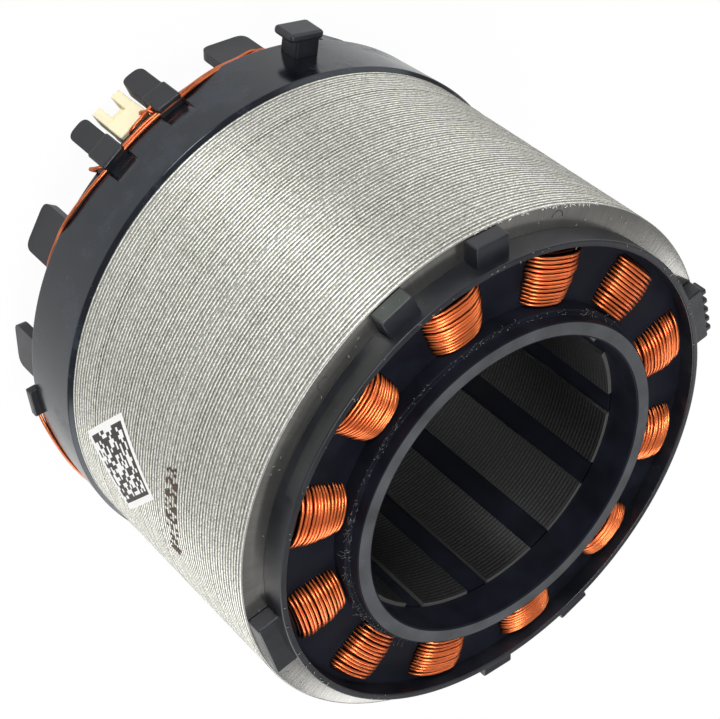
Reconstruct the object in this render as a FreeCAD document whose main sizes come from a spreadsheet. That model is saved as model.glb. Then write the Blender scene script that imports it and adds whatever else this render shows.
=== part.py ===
import FreeCAD, Part
import math
import os
import re
import Sketcher

# Wound stator of a twelve slot brushless motor: a lamination stack between two moulded
# end insulators, one copper coil on each tooth, crossover wires and a small connector
# housing at the rear end. The Z axis is the rotor axis, z = 0 is the rear face of the
# stack, and +X points through the connector housing, which sits behind a slot.

doc = FreeCAD.newDocument("WoundStator")
sheet = doc.addObject("Spreadsheet::Sheet", "Sizes")

sizes = {
    # lamination stack
    "stackRadius": 32.6,
    "stackLength": 34.5,
    "boreRadius": 18.6,
    "slotCount": 12,
    "slotOpening": 3.0,
    "shoeThickness": 1.3,
    "shoeTaper": 1.1,
    "toothWidth": 4.4,
    "backIron": 4.0,
    "slotDepthRadius": "=stackRadius - backIron",
    "slotFloorRise": 0.9,
    # insulation shared by both ends
    "plateThickness": 1.0,
    "linerGap": 0.05,
    "linerWall": 0.5,
    "linerSplit": 0.2,
    "wedgeInset": 0.35,
    "collarGap": 0.45,
    "collarWall": 1.85,
    "ledgeWidth": 0.62,
    # front insulator
    "frontCollarHeight": 4.45,
    "frontLedgeHeight": 3.0,
    "rimBevel": 0.25,
    "frontRim": 2.75,
    "frontWallRadius": "=stackRadius - frontRim",
    "frontWallThickness": 0.8,
    "frontWallHeight": 3.1,
    "lugHeight": 2.1,
    "narrowLugSetback": 0.15,
    "broadLugSetback": 0.35,
    "broadLugWidth": 8.0,
    "broadLugAngle": 76.4,
    "narrowLugWidth": 4.3,
    "innerLugAngle": -3.4,
    "outerLugAngle": -25.8,
    # rear insulator
    "rearCollarHeight": 4.4,
    "bandStep": 0.5,
    "bandTaper": 0.45,
    "bandWall": 3.15,
    "bandRadius": "=stackRadius + bandStep",
    "bandRearRadius": "=bandRadius - bandTaper",
    "bandInnerRadius": "=bandRearRadius - bandWall",
    "bandLength": 9.7,
    "bandBevel": 0.45,
    "tabInset": 0.25,
    "tabThickness": 1.25,
    "tabRadius": "=bandInnerRadius + tabInset + tabThickness",
    "tabWidth": 6.2,
    "tabLength": 6.9,
    "tabCorner": 1.0,
    "guideAngle": 7.6,
    "guideWidth": 3.4,
    "guideBaseStep": 0.65,
    "guideBaseReach": "=bandRadius + guideBaseStep",
    "guideBaseFront": 7.9,
    "guideBaseLength": 3.6,
    "guideTabThickness": 1.9,
    "guideTabStep": 0.2,
    "guideTabReach": "=bandRadius + guideTabStep",
    "guideTabInner": "=guideTabReach - guideTabThickness",
    "recessLength": 4.0,
    "recessDepth": 0.7,
    "hookAngle": -37.7,
    "hookStemWidth": 3.3,
    "hookStemFront": 5.2,
    "hookStemLength": 3.2,
    "hookStep": 3.1,
    "hookReach": "=bandRadius + hookStep",
    "hookCapThickness": 1.1,
    "hookCapWidth": 4.7,
    "hookCapFront": 4.5,
    "hookCapLength": 3.7,
    "cleatAngle": 67.0,
    "cleatWidth": 4.0,
    "cleatStep": 0.4,
    "cleatReach": "=bandRadius + cleatStep",
    "cleatLength": 1.1,
    "cleatInset": 0.3,
    # coils
    "coilGap": 0.1,
    "coilInnerWidth": 7.4,
    "coilOuterWidth": 9.0,
    "coilHeight": 1.85,
    "coilInset": 0.15,
    # crossover wires
    "wireThickness": 0.6,
    "wireGap": 0.02,
    "wireTabGap": 0.2,
    # connector housing
    "housingWidth": 4.4,
    "housingDepth": 2.6,
    "housingSetback": 0.1,
    "housingReach": "=bandRadius - housingSetback",
    "housingInner": "=housingReach - housingDepth",
    "housingLength": 6.7,
    "cavityWidth": 1.3,
    "cavityDepth": 3.0,
    "railWidth": 0.5,
    "contactThickness": 0.3,
}

for row, name in enumerate(sizes):
    cell = "B%d" % (row + 1)
    sheet.set("A%d" % (row + 1), name)
    sheet.set(cell, str(sizes[name]))
    sheet.setAlias(cell, name)
doc.recompute()


def linked(text):
    # puts the sheet's name before each size named in an expression
    def named(found):
        word = found.group()
        return "Sizes." + word if word in sizes else word
    return re.sub(r"[A-Za-z]+", named, text)


def makeBody(label):
    body = doc.addObject("PartDesign::Body", label)
    body.Label = label
    return body


def originPlane(body, role):
    for feature in body.Origin.OriginFeatures:
        if feature.Role == role:
            return feature


def makeOutline(body, name, role, corners, lift="0", turn="0"):
    # a closed outline of straight lines, each corner placed by two bound distances; an
    # outline on the upright plane faces outwards and is turned round the Z axis
    sketch = body.newObject("Sketcher::SketchObject", name)
    sketch.AttachmentSupport = [(originPlane(body, role), "")]
    sketch.MapMode = "FlatFace"
    upright = role == "YZ_Plane"
    axis = FreeCAD.Vector(0, 1, 0) if upright else FreeCAD.Vector(0, 0, 1)
    sketch.AttachmentOffset = FreeCAD.Placement(
        FreeCAD.Vector(0, 0, 0), FreeCAD.Rotation(axis, 1)
    )
    sketch.setExpression("AttachmentOffset.Rotation.Angle", linked(turn))
    if upright:
        sketch.setExpression("AttachmentOffset.Base.x", linked("( %s ) * sin( %s )" % (lift, turn)))
        sketch.setExpression("AttachmentOffset.Base.z", linked("( %s ) * cos( %s )" % (lift, turn)))
    else:
        sketch.setExpression("AttachmentOffset.Base.z", linked(lift))
    count = len(corners)
    ring = []
    for i in range(count):
        angle = 2 * math.pi * i / count
        ring.append(FreeCAD.Vector(20 + 5 * math.cos(angle), 5 * math.sin(angle), 0))
    for i in range(count):
        sketch.addGeometry(Part.LineSegment(ring[i], ring[(i + 1) % count]), False)
    for i in range(count):
        sketch.addConstraint(Sketcher.Constraint("Coincident", i, 2, (i + 1) % count, 1))
    for i, (across, up) in enumerate(corners):
        first = sketch.addConstraint(Sketcher.Constraint("DistanceX", -1, 1, i, 1, ring[i].x))
        second = sketch.addConstraint(Sketcher.Constraint("DistanceY", -1, 1, i, 1, ring[i].y))
        sketch.setExpression("Constraints[%d]" % first, linked(across))
        sketch.setExpression("Constraints[%d]" % second, linked(up))
    return sketch


def addFeature(body, kind, name, profile, length=None, backward=False, both=False):
    feature = body.newObject("PartDesign::" + kind, name)
    feature.Profile = profile
    if length is None:
        feature.Type = "ThroughAll"
    else:
        feature.setExpression("Length", linked(length))
    feature.Reversed = backward
    feature.Midplane = both
    profile.Visibility = False
    return feature


def addTurned(body, kind, name, profile):
    feature = body.newObject("PartDesign::" + kind, name)
    feature.Profile = profile
    feature.ReferenceAxis = (originPlane(body, "Z_Axis"), [""])
    feature.Angle = 360
    return feature


def repeatAround(body, name, features, count="slotCount"):
    pattern = body.newObject("PartDesign::PolarPattern", name)
    pattern.Originals = features
    pattern.Axis = (originPlane(body, "Z_Axis"), [""])
    pattern.Angle = 360
    pattern.setExpression("Occurrences", linked(count))
    body.Tip = pattern
    return pattern


# A point beside a tooth, seen from the slot on +X: u runs along the tooth and the point
# lies off its middle line by half the tooth width, plus the insulation in front of it.
halfPitch = "( 180 / slotCount )"


def besideTooth(along, aside):
    across = "( %s ) * cos%s + ( %s ) * sin%s" % (along, halfPitch, aside, halfPitch)
    up = "( %s ) * sin%s - ( %s ) * cos%s" % (along, halfPitch, aside, halfPitch)
    return across, up


def mirrored(corners):
    lower = [(across, "- ( %s )" % up) for across, up in reversed(corners)]
    return corners + lower


steelSide = "toothWidth / 2"
linerSide = "toothWidth / 2 + linerGap"
windowSide = "toothWidth / 2 + linerGap + linerWall"
shoeEnd = "boreRadius + shoeThickness + shoeTaper"
floorMiddle = "slotDepthRadius + slotFloorRise"
collarInner = "boreRadius + collarGap"
collarOuter = "boreRadius + collarGap + collarWall"
ledgeOuter = "boreRadius + collarGap + collarWall + ledgeWidth"

slotCorners = [
    ("boreRadius - 1", "slotOpening / 2"),
    ("boreRadius + shoeThickness", "slotOpening / 2"),
    besideTooth(shoeEnd, steelSide),
    besideTooth("slotDepthRadius", steelSide),
]
floorCorner = (floorMiddle, "0")

# The insulation that lines one slot: it follows the slot with a small gap.
linerCorners = [
    ("boreRadius + wedgeInset", "slotOpening / 2 - linerGap"),
    ("boreRadius + shoeThickness + linerGap", "slotOpening / 2 - linerGap"),
    besideTooth(shoeEnd + " + linerGap", linerSide),
    besideTooth("slotDepthRadius - linerGap", linerSide),
]
linerFloor = (floorMiddle + " - linerGap", "0")

# The clear window that is left in each slot for the two coil sides.
windowCorners = [
    besideTooth(ledgeOuter + " + linerGap", windowSide),
    besideTooth("slotDepthRadius - linerGap - linerWall", windowSide),
]
windowFloor = (floorMiddle + " - linerGap - linerWall", "0")


def withMiddle(corners, middle):
    lower = [(across, "- ( %s )" % up) for across, up in reversed(corners)]
    return corners + [middle] + lower


# Lamination stack: one ring, with a slot cut and repeated round the axis.
stack = makeBody("lamination_stack")
ringSketch = stack.newObject("Sketcher::SketchObject", "StackRing")
ringSketch.AttachmentSupport = [(originPlane(stack, "XY_Plane"), "")]
ringSketch.MapMode = "FlatFace"
centre = FreeCAD.Vector(0, 0, 0)
upward = FreeCAD.Vector(0, 0, 1)
ringSketch.addGeometry(Part.Circle(centre, upward, sizes["stackRadius"]), False)
ringSketch.addGeometry(Part.Circle(centre, upward, sizes["boreRadius"]), False)
for index, name in enumerate(["stackRadius", "boreRadius"]):
    ringSketch.addConstraint(Sketcher.Constraint("Coincident", index, 3, -1, 1))
    held = ringSketch.addConstraint(Sketcher.Constraint("Radius", index, sizes[name]))
    ringSketch.setExpression("Constraints[%d]" % held, linked(name))
addFeature(stack, "Pad", "StackPad", ringSketch, "stackLength")
slotSketch = makeOutline(stack, "SlotOutline", "XY_Plane", withMiddle(slotCorners, floorCorner))
slotCut = addFeature(stack, "Pocket", "SlotCut", slotSketch, "stackLength", backward=True)
repeatAround(stack, "SlotRow", [slotCut])

# Front insulator: plate, outer wall and bore collar are one turned profile.
front = makeBody("front_insulator")
frontProfile = makeOutline(front, "FrontProfile", "XZ_Plane", [
    (collarInner, "stackLength"),
    ("frontWallRadius", "stackLength"),
    ("frontWallRadius", "stackLength + frontWallHeight"),
    ("frontWallRadius - frontWallThickness", "stackLength + frontWallHeight"),
    ("frontWallRadius - frontWallThickness", "stackLength + plateThickness"),
    (ledgeOuter, "stackLength + plateThickness"),
    (ledgeOuter, "stackLength + frontLedgeHeight"),
    (collarOuter, "stackLength + frontLedgeHeight"),
    (collarOuter, "stackLength + frontCollarHeight"),
    (collarInner + " + rimBevel", "stackLength + frontCollarHeight"),
    (collarInner, "stackLength + frontCollarHeight - rimBevel"),
])
addTurned(front, "Revolution", "FrontTurned", frontProfile)
frontLiner = addFeature(
    front, "Pad", "FrontLiner",
    makeOutline(front, "FrontLinerOutline", "XY_Plane", withMiddle(linerCorners, linerFloor),
                lift="( stackLength + linerSplit ) / 2"),
    "( stackLength - linerSplit ) / 2 + plateThickness / 2",
)
repeatAround(front, "FrontLinerRow", [frontLiner])
frontWindow = addFeature(
    front, "Pocket", "FrontWindow",
    makeOutline(front, "FrontWindowOutline", "XY_Plane", withMiddle(windowCorners, windowFloor),
                lift="stackLength / 2 - plateThickness"),
    "stackLength / 2 + 3 * plateThickness", backward=True,
)
repeatAround(front, "FrontWindowRow", [frontWindow])

# Lugs on the outer wall in two opposite sets: their corners stay inside the stack's radius,
# so that the stack can be pressed into a sleeve from this end.
lugs = [
    ("BroadLug", "broadLugAngle", "broadLugWidth", "broadLugSetback"),
    ("InnerLug", "innerLugAngle", "narrowLugWidth", "narrowLugSetback"),
    ("OuterLug", "outerLugAngle", "narrowLugWidth", "narrowLugSetback"),
]
lugPads = []
for name, angle, width, setback in lugs:
    lugOutline = makeOutline(front, name + "Outline", "XY_Plane", [
        ("frontWallRadius - frontWallThickness / 2", "- %s / 2" % width),
        ("stackRadius - " + setback, "- %s / 2" % width),
        ("stackRadius - " + setback, "%s / 2" % width),
        ("frontWallRadius - frontWallThickness / 2", "%s / 2" % width),
    ], lift="stackLength", turn=angle)
    lugPads.append(addFeature(front, "Pad", name, lugOutline, "lugHeight"))
repeatAround(front, "LugPairs", lugPads, "2")

# Rear insulator: the same plate and collar, and a deep band that shields the coil ends.
rear = makeBody("rear_insulator")
rearProfile = makeOutline(rear, "RearProfile", "XZ_Plane", [
    (collarInner, "0"),
    ("stackRadius", "0"),
    ("bandRadius", "- bandBevel"),
    ("bandRearRadius", "- bandLength"),
    ("bandInnerRadius", "- bandLength"),
    ("bandInnerRadius", "- plateThickness"),
    (ledgeOuter, "- plateThickness"),
    (ledgeOuter, "- frontLedgeHeight"),
    (collarOuter, "- rearCollarHeight"),
    (collarInner, "- rearCollarHeight"),
])
addTurned(rear, "Revolution", "RearTurned", rearProfile)
rearLiner = addFeature(
    rear, "Pad", "RearLiner",
    makeOutline(rear, "RearLinerOutline", "XY_Plane", withMiddle(linerCorners, linerFloor),
                lift="- plateThickness / 2"),
    "( stackLength - linerSplit ) / 2 + plateThickness / 2",
)
repeatAround(rear, "RearLinerRow", [rearLiner])
rearWindow = addFeature(
    rear, "Pocket", "RearWindow",
    makeOutline(rear, "RearWindowOutline", "XY_Plane", withMiddle(windowCorners, windowFloor),
                lift="- 2 * plateThickness"),
    "stackLength / 2 + 3 * plateThickness", backward=True,
)
repeatAround(rear, "RearWindowRow", [rearWindow])

# Feet tabs round the rear edge: a flat tab with clipped corners behind each slot but the
# one on +X, which holds the connector housing between its two guides.
tabEnd = "- bandLength - tabLength"
tabOutline = makeOutline(rear, "TabOutline", "YZ_Plane", [
    ("- tabWidth / 2", "- bandLength + plateThickness"),
    ("- tabWidth / 2", tabEnd + " + tabCorner"),
    ("- tabWidth / 2 + 0.3 * tabCorner", tabEnd + " + 0.3 * tabCorner"),
    ("- tabWidth / 2 + tabCorner", tabEnd),
    ("tabWidth / 2 - tabCorner", tabEnd),
    ("tabWidth / 2 - 0.3 * tabCorner", tabEnd + " + 0.3 * tabCorner"),
    ("tabWidth / 2", tabEnd + " + tabCorner"),
    ("tabWidth / 2", "- bandLength + plateThickness"),
], lift="bandInnerRadius + tabInset", turn="360 / slotCount")
tab = addFeature(rear, "Pad", "Tab", tabOutline, "tabRadius - bandInnerRadius - tabInset")
tabRow = repeatAround(rear, "TabRow", [tab], "slotCount - 1")
tabRow.setExpression("Angle", linked("360 - 2 * 360 / slotCount"))

for name, sign in (("LeftGuide", ""), ("RightGuide", "- ")):
    turn = sign + "guideAngle"
    recess = makeOutline(rear, name + "RecessOutline", "XY_Plane", [
        ("bandRearRadius - recessDepth", "- guideWidth / 2"),
        ("bandRadius + 1", "- guideWidth / 2"),
        ("bandRadius + 1", "guideWidth / 2"),
        ("bandRearRadius - recessDepth", "guideWidth / 2"),
    ], lift="- guideBaseFront + recessLength", turn=turn)
    addFeature(rear, "Pocket", name + "Recess", recess, "recessLength")
    base = makeOutline(rear, name + "BaseOutline", "XY_Plane", [
        ("bandInnerRadius + 1", "- guideWidth / 2"),
        ("guideBaseReach", "- guideWidth / 2"),
        ("guideBaseReach", "guideWidth / 2"),
        ("bandInnerRadius + 1", "guideWidth / 2"),
    ], lift="- guideBaseFront", turn=turn)
    addFeature(rear, "Pad", name + "Base", base, "guideBaseLength", backward=True)
    arm = makeOutline(rear, name + "ArmOutline", "XY_Plane", [
        ("guideTabInner", "- guideWidth / 2 + 0.2"),
        ("guideTabReach", "- guideWidth / 2 + 0.2"),
        ("guideTabReach", "guideWidth / 2 - 0.2"),
        ("guideTabInner", "guideWidth / 2 - 0.2"),
    ], lift="- bandLength", turn=turn)
    addFeature(rear, "Pad", name + "Arm", arm, "tabLength", backward=True)

# Hook for the lead wires: a stem on the band with a cap that overhangs it.
stem = makeOutline(rear, "HookStemOutline", "XY_Plane", [
    ("bandInnerRadius + 1", "- hookStemWidth / 2"),
    ("hookReach - hookCapThickness / 2", "- hookStemWidth / 2"),
    ("hookReach - hookCapThickness / 2", "hookStemWidth / 2"),
    ("bandInnerRadius + 1", "hookStemWidth / 2"),
], lift="- hookStemFront", turn="hookAngle")
addFeature(rear, "Pad", "HookStem", stem, "hookStemLength", backward=True)
cap = makeOutline(rear, "HookCapOutline", "XY_Plane", [
    ("hookReach - hookCapThickness", "- hookStemWidth / 2"),
    ("hookReach", "- hookStemWidth / 2"),
    ("hookReach", "hookCapWidth - hookStemWidth / 2"),
    ("hookReach - hookCapThickness", "hookCapWidth - hookStemWidth / 2"),
], lift="- hookCapFront", turn="hookAngle")
addFeature(rear, "Pad", "HookCap", cap, "hookCapLength", backward=True)
cleat = makeOutline(rear, "CleatOutline", "XY_Plane", [
    ("bandInnerRadius + 1", "- cleatWidth / 2"),
    ("cleatReach", "- cleatWidth / 2"),
    ("cleatReach", "cleatWidth / 2"),
    ("bandInnerRadius + 1", "cleatWidth / 2"),
], lift="- bandLength + cleatInset", turn="cleatAngle")
rearTip = addFeature(rear, "Pad", "Cleat", cleat, "cleatLength")
rear.Tip = rearTip

# Coils: a wedge shaped winding round each tooth, wider at the back iron.
coilFront = "stackLength + plateThickness + coilHeight"
coilRear = "- plateThickness - coilHeight"
coilStart = ledgeOuter + " + coilInset"
coilEnd = "slotDepthRadius - linerGap - linerWall - coilInset"
holeSide = "( toothWidth / 2 + linerGap + linerWall + coilGap )"


def roundedEnds(width):
    # a tall outline whose two ends bulge like the crown of a winding
    side = "( %s / 2 )" % width
    return [
        ("- " + side, coilRear + " + 0.75 * coilHeight"),
        ("- 0.82 * " + side, coilRear + " + 0.3 * coilHeight"),
        ("- 0.45 * " + side, coilRear + " + 0.05 * coilHeight"),
        ("0.45 * " + side, coilRear + " + 0.05 * coilHeight"),
        ("0.82 * " + side, coilRear + " + 0.3 * coilHeight"),
        (side, coilRear + " + 0.75 * coilHeight"),
        (side, coilFront + " - 0.75 * coilHeight"),
        ("0.82 * " + side, coilFront + " - 0.3 * coilHeight"),
        ("0.45 * " + side, coilFront + " - 0.05 * coilHeight"),
        ("- 0.45 * " + side, coilFront + " - 0.05 * coilHeight"),
        ("- 0.82 * " + side, coilFront + " - 0.3 * coilHeight"),
        ("- " + side, coilFront + " - 0.75 * coilHeight"),
    ]


for number in range(sizes["slotCount"]):
    coil = makeBody("coil_%02d" % (number + 1))
    narrowEnd = makeOutline(coil, "CoilInner%d" % number, "YZ_Plane",
                            roundedEnds("coilInnerWidth"), lift=coilStart)
    broadEnd = makeOutline(coil, "CoilOuter%d" % number, "YZ_Plane",
                           roundedEnds("coilOuterWidth"), lift=coilEnd)
    winding = coil.newObject("PartDesign::AdditiveLoft", "Winding%d" % number)
    winding.Profile = narrowEnd
    winding.Sections = [broadEnd]
    winding.Ruled = True
    hole = makeOutline(coil, "CoilHole%d" % number, "YZ_Plane", [
        ("- " + holeSide, "- plateThickness - coilGap"),
        (holeSide, "- plateThickness - coilGap"),
        (holeSide, "stackLength + plateThickness + coilGap"),
        ("- " + holeSide, "stackLength + plateThickness + coilGap"),
    ], lift="slotDepthRadius + 2")
    addFeature(coil, "Pocket", "CoilHoleCut%d" % number, hole, "slotDepthRadius")
    coil.Placement.Rotation = FreeCAD.Rotation(upward, 1)
    coil.setExpression("Placement.Rotation.Angle", linked("( %d + 0.5 ) * 360 / slotCount" % number))

# Connector housing: a cream block between the two guides, open at its rear end.
housing = makeBody("connector_housing")
block = makeOutline(housing, "HousingOutline", "XY_Plane", [
    ("housingInner", "- housingWidth / 2"),
    ("housingReach", "- housingWidth / 2"),
    ("housingReach", "housingWidth / 2"),
    ("housingInner", "housingWidth / 2"),
], lift="- bandLength")
addFeature(housing, "Pad", "HousingBlock", block, "housingLength", backward=True)
for name, sign in (("Left", ""), ("Right", "- ")):
    middle = "( %s ( cavityWidth + railWidth ) / 2 )" % sign
    cavity = makeOutline(housing, name + "CavityOutline", "XY_Plane", [
        ("housingInner + railWidth", middle + " - cavityWidth / 2"),
        ("housingReach - railWidth", middle + " - cavityWidth / 2"),
        ("housingReach - railWidth", middle + " + cavityWidth / 2"),
        ("housingInner + railWidth", middle + " + cavityWidth / 2"),
    ], lift="- bandLength - housingLength")
    addFeature(housing, "Pocket", name + "Cavity", cavity, "cavityDepth", backward=True)

# One flat contact stands in each cavity of the housing.
for number, sign in ((1, ""), (2, "- ")):
    contact = makeBody("contact_%d" % number)
    middle = "( %s ( cavityWidth + railWidth ) / 2 )" % sign
    blade = makeOutline(contact, "ContactOutline%d" % number, "XY_Plane", [
        ("( housingInner + housingReach ) / 2 - cavityWidth / 2", middle + " - contactThickness / 2"),
        ("( housingInner + housingReach ) / 2 + cavityWidth / 2", middle + " - contactThickness / 2"),
        ("( housingInner + housingReach ) / 2 + cavityWidth / 2", middle + " + contactThickness / 2"),
        ("( housingInner + housingReach ) / 2 - cavityWidth / 2", middle + " + contactThickness / 2"),
    ], lift="- bandLength - housingLength + cavityDepth")
    addFeature(contact, "Pad", "Blade%d" % number, blade, "cavityDepth - railWidth", backward=True)

# Crossover wires: arcs of magnet wire on the ledge outside the tabs, eight sided.
runs = [
    ("crossover_wire_1", 0, 11.4, 40.0),
    ("crossover_wire_2", 1, 14.0, 33.0),
    ("crossover_wire_3", 0, -42.0, -11.4),
    ("crossover_wire_4", 1, -38.0, -13.0),
    ("crossover_wire_5", 0, 72.0, 118.0),
]
for label, lane, start, end in runs:
    wire = makeBody(label)
    middle = "tabRadius + wireTabGap + ( wireThickness + wireGap ) * %d + wireThickness / 2" % lane
    height = "- bandLength - wireThickness / 2 - wireGap"
    section = []
    for corner in range(8):
        angle = (corner + 0.5) * 45
        section.append((
            middle + " + wireThickness / 2 * cos( %s )" % angle,
            height + " + wireThickness / 2 * sin( %s )" % angle,
        ))
    strand = wire.newObject("PartDesign::Revolution", label + "_strand")
    strand.Profile = makeOutline(wire, label + "_section", "XZ_Plane", section)
    strand.ReferenceAxis = (originPlane(wire, "Z_Axis"), [""])
    strand.Angle = end - start
    wire.Placement.Rotation = FreeCAD.Rotation(upward, start)

doc.recompute()

kept = [item for item in doc.Objects if item.TypeId == "PartDesign::Body"]
for item in doc.Objects:
    for flag in ("Invalid", "Error"):
        if flag in item.State:
            raise RuntimeError("%s is in state %s" % (item.Name, item.State))
os.makedirs("parts", exist_ok=True)
for item in kept:
    if item.Shape.isNull() or not item.Shape.isValid():
        raise RuntimeError("%s has no valid shape" % item.Label)
    if len(item.Shape.Solids) != 1:
        raise RuntimeError("%s has %d solids" % (item.Label, len(item.Shape.Solids)))
    item.Shape.exportStep("parts/%s.step" % item.Label)
    print(item.Label, round(item.Shape.Volume, 2))
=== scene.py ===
import math

import bmesh
import bpy
import numpy as np
from mathutils import Matrix, Vector


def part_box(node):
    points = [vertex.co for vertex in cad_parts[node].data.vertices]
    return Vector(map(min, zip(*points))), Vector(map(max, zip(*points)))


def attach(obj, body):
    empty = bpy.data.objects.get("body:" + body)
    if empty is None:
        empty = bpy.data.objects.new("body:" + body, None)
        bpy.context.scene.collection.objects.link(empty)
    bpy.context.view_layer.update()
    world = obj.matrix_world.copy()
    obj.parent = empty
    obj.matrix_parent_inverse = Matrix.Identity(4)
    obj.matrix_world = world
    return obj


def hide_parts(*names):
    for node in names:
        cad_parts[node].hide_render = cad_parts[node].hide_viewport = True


# The wound stator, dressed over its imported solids. Lengths are in millimetres until a
# piece is made, angles are in degrees round the rotor axis, and z runs along that axis,
# from zero at the rear face of the stack towards the front end.

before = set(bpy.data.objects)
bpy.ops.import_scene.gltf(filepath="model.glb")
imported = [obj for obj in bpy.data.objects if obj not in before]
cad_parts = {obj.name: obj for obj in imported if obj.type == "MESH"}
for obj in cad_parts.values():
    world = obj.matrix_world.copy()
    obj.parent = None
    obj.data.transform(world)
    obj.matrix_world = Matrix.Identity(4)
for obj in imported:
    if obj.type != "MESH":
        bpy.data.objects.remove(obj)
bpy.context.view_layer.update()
print("frame loaded")

mm = 0.001
stackLow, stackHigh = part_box("lamination_stack")

stack = {
    "radius": stackHigh[0] / mm,
    "length": (stackHigh[2] - stackLow[2]) / mm,
    "bore": 18.6,
    "teeth": 12,
    "opening": 3.0,          # width of a slot's mouth
    "toothWidth": 4.4,
    "slotDepth": 28.6,       # radius of the slots' floors
    "sheet": 0.5,            # one lamination
    "rim": (0.16, 0.84),     # the part of a sheet's thickness that its rim takes
    "groove": 0.05,          # how far the line between two sheets lies back
    "wander": 0.008,         # how much the sheets differ in radius
    "skin": 0.02,            # the dressed surface stands this far off the plain one
    "faceInner": 29.35,      # the front face is dressed from under the wall outwards
    "edge": 0.12,            # rounding of the front sheet's edge
    "edgeDepth": 0.2,
    "turn": (-180, 179.99),  # first and last angle of the skin, which closes on itself
}

view = {
    "place": (0.17694, 0.02437, 0.15704),   # metres
    "aim": (0.00301, 0.00007, 0.01334),     # a point on the line of sight, metres
    "roll": 129.516,
    "lens": 96.51,
    "sensor": 36.0,
    "clip": (0.005, 10.0),
}


def setCamera():
    # looks from place to aim, then turns about that line by the roll
    data = bpy.data.cameras.new("camera")
    data.lens = view["lens"]
    data.sensor_width = view["sensor"]
    data.clip_start, data.clip_end = view["clip"]
    camera = bpy.data.objects.new("camera", data)
    bpy.context.collection.objects.link(camera)
    place, aim = Vector(view["place"]), Vector(view["aim"])
    forward = (aim - place).normalized()
    side = forward.cross(Vector((0, 0, 1))).normalized()
    top = side.cross(forward)
    roll = math.radians(view["roll"])
    up = top * math.cos(roll) - side * math.sin(roll)
    right = forward.cross(up)
    turn = Matrix((right, up, -forward)).transposed().to_4x4()
    camera.matrix_world = Matrix.Translation(place) @ turn
    bpy.context.scene.camera = camera


setCamera()

# A shape is its points and a list of face arrays.


def gridFaces(rows, columns, closeRows=False, closeColumns=False):
    # four corners between each pair of neighbouring rows and columns
    i = np.arange(rows if closeRows else rows - 1)
    j = np.arange(columns if closeColumns else columns - 1)
    a, b = np.meshgrid(i, j, indexing="ij")
    c, d = (a + 1) % rows, (b + 1) % columns
    quads = np.stack([a * columns + b, c * columns + b, c * columns + d, a * columns + d], -1)
    return quads.reshape(-1, 4)


def joined(shapes):
    # one shape of several: each one's corner numbers move on by the points before it
    points = np.concatenate([shape[0] for shape in shapes])
    faces, start = [], 0
    for shape in shapes:
        faces += [part + start for part in shape[1]]
        start += len(shape[0])
    return points, faces


def turnedBy(shape, degrees):
    # x' = x cos a - y sin a, y' = x sin a + y cos a
    a = math.radians(degrees)
    spin = np.array([[math.cos(a), math.sin(a), 0], [-math.sin(a), math.cos(a), 0], [0, 0, 1]])
    return shape[0] @ spin, shape[1]


def rounded(corners, radius, steps=4):
    # each corner gives way to a curve (1-t)^2 A + 2t(1-t) P + t^2 B between points on its
    # two edges, with one more point a little further out to keep the flats flat
    here = np.array(corners, float)
    radius = np.broadcast_to(np.asarray(radius, float), (len(here),))[:, None]

    def towards(other, share):
        # from each corner towards the other, by its radius times share
        line = other - here
        length = np.linalg.norm(line, axis=1, keepdims=True)
        return here + line / length * np.minimum(radius * share, 0.48 * length)

    before, after = np.roll(here, 1, 0), np.roll(here, -1, 0)
    start, end = towards(before, 1)[:, None], towards(after, 1)[:, None]
    t = np.linspace(0, 1, steps + 1)[None, :, None]
    curve = (1 - t) ** 2 * start + 2 * t * (1 - t) * here[:, None] + t ** 2 * end
    lead, tail = towards(before, 1.2)[:, None], towards(after, 1.2)[:, None]
    return np.concatenate([lead, curve, tail], 1).reshape(-1, 2)


def turned(profile, first=0.0, last=360.0, count=240, closed=True):
    # every profile point (r, z) is carried round: x = r cos a, y = r sin a
    whole = last - first > 359.9
    angles = np.radians(np.linspace(first, last, count, endpoint=not whole))
    r, z = np.asarray(profile, float).T
    points = np.stack([np.outer(np.cos(angles), r), np.outer(np.sin(angles), r),
                       np.tile(z, (count, 1))], -1)
    faces = [gridFaces(count, len(r), whole, closed)]
    if closed and not whole:
        ring = np.arange(len(r))
        faces += [ring[None, :], ring[None, ::-1] + (count - 1) * len(r)]
    return points.reshape(-1, 3), faces


def prism(outline, low, high, upright=False):
    # an (r, t) outline drawn out along z, or a (t, z) outline drawn out along r
    u, v = np.asarray(outline, float).T
    ring = np.arange(len(u))
    ends = []
    for depth in (low, high):
        flat = np.full(len(u), float(depth))
        ends.append(np.stack([flat, u, v] if upright else [u, v, flat], 1))
    following = np.roll(ring, -1)
    sides = np.stack([ring, following, following + len(u), ring + len(u)], 1)
    return np.concatenate(ends), [sides, ring[None, ::-1], ring[None, :] + len(u)]


def block(inner, outer, width, low, high, aside=0.0):
    # a box from radius inner to outer and from low to high, its middle at y = aside
    left, right = aside - width / 2, aside + width / 2
    return prism([(inner, left), (outer, left), (outer, right), (inner, right)], low, high)


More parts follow.
